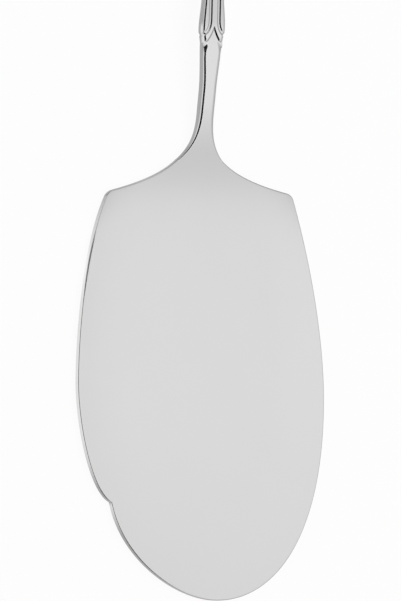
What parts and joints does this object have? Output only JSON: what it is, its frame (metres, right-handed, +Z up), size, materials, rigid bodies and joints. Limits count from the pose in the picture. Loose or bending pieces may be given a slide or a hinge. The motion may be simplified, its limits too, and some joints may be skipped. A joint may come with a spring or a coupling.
{
  "type": "serving spoon",
  "caption": "Polished silver serving spoon with a broad, gently dished blade notched on one side, a slim rising neck and a hollow reeded handle.",
  "frame": {"origin": "on the table under the middle of the spoon's length and width", "axes": "+Y along the spoon towards the handle's end, +X to the right of the blade seen from above, +Z up from the table"},
  "size_m": [0.0764, 0.265, 0.0135],
  "materials": {
    "blade_silver": "polished",
    "handle_silver": "polished",
    "cement": "matte"
  },
  "bodies": {
    "root": {"blade": "blade_silver", "handle_front_shell": "handle_silver", "handle_back_shell": "handle_silver", "handle_filler": "cement"}
  },
  "joints": []
}
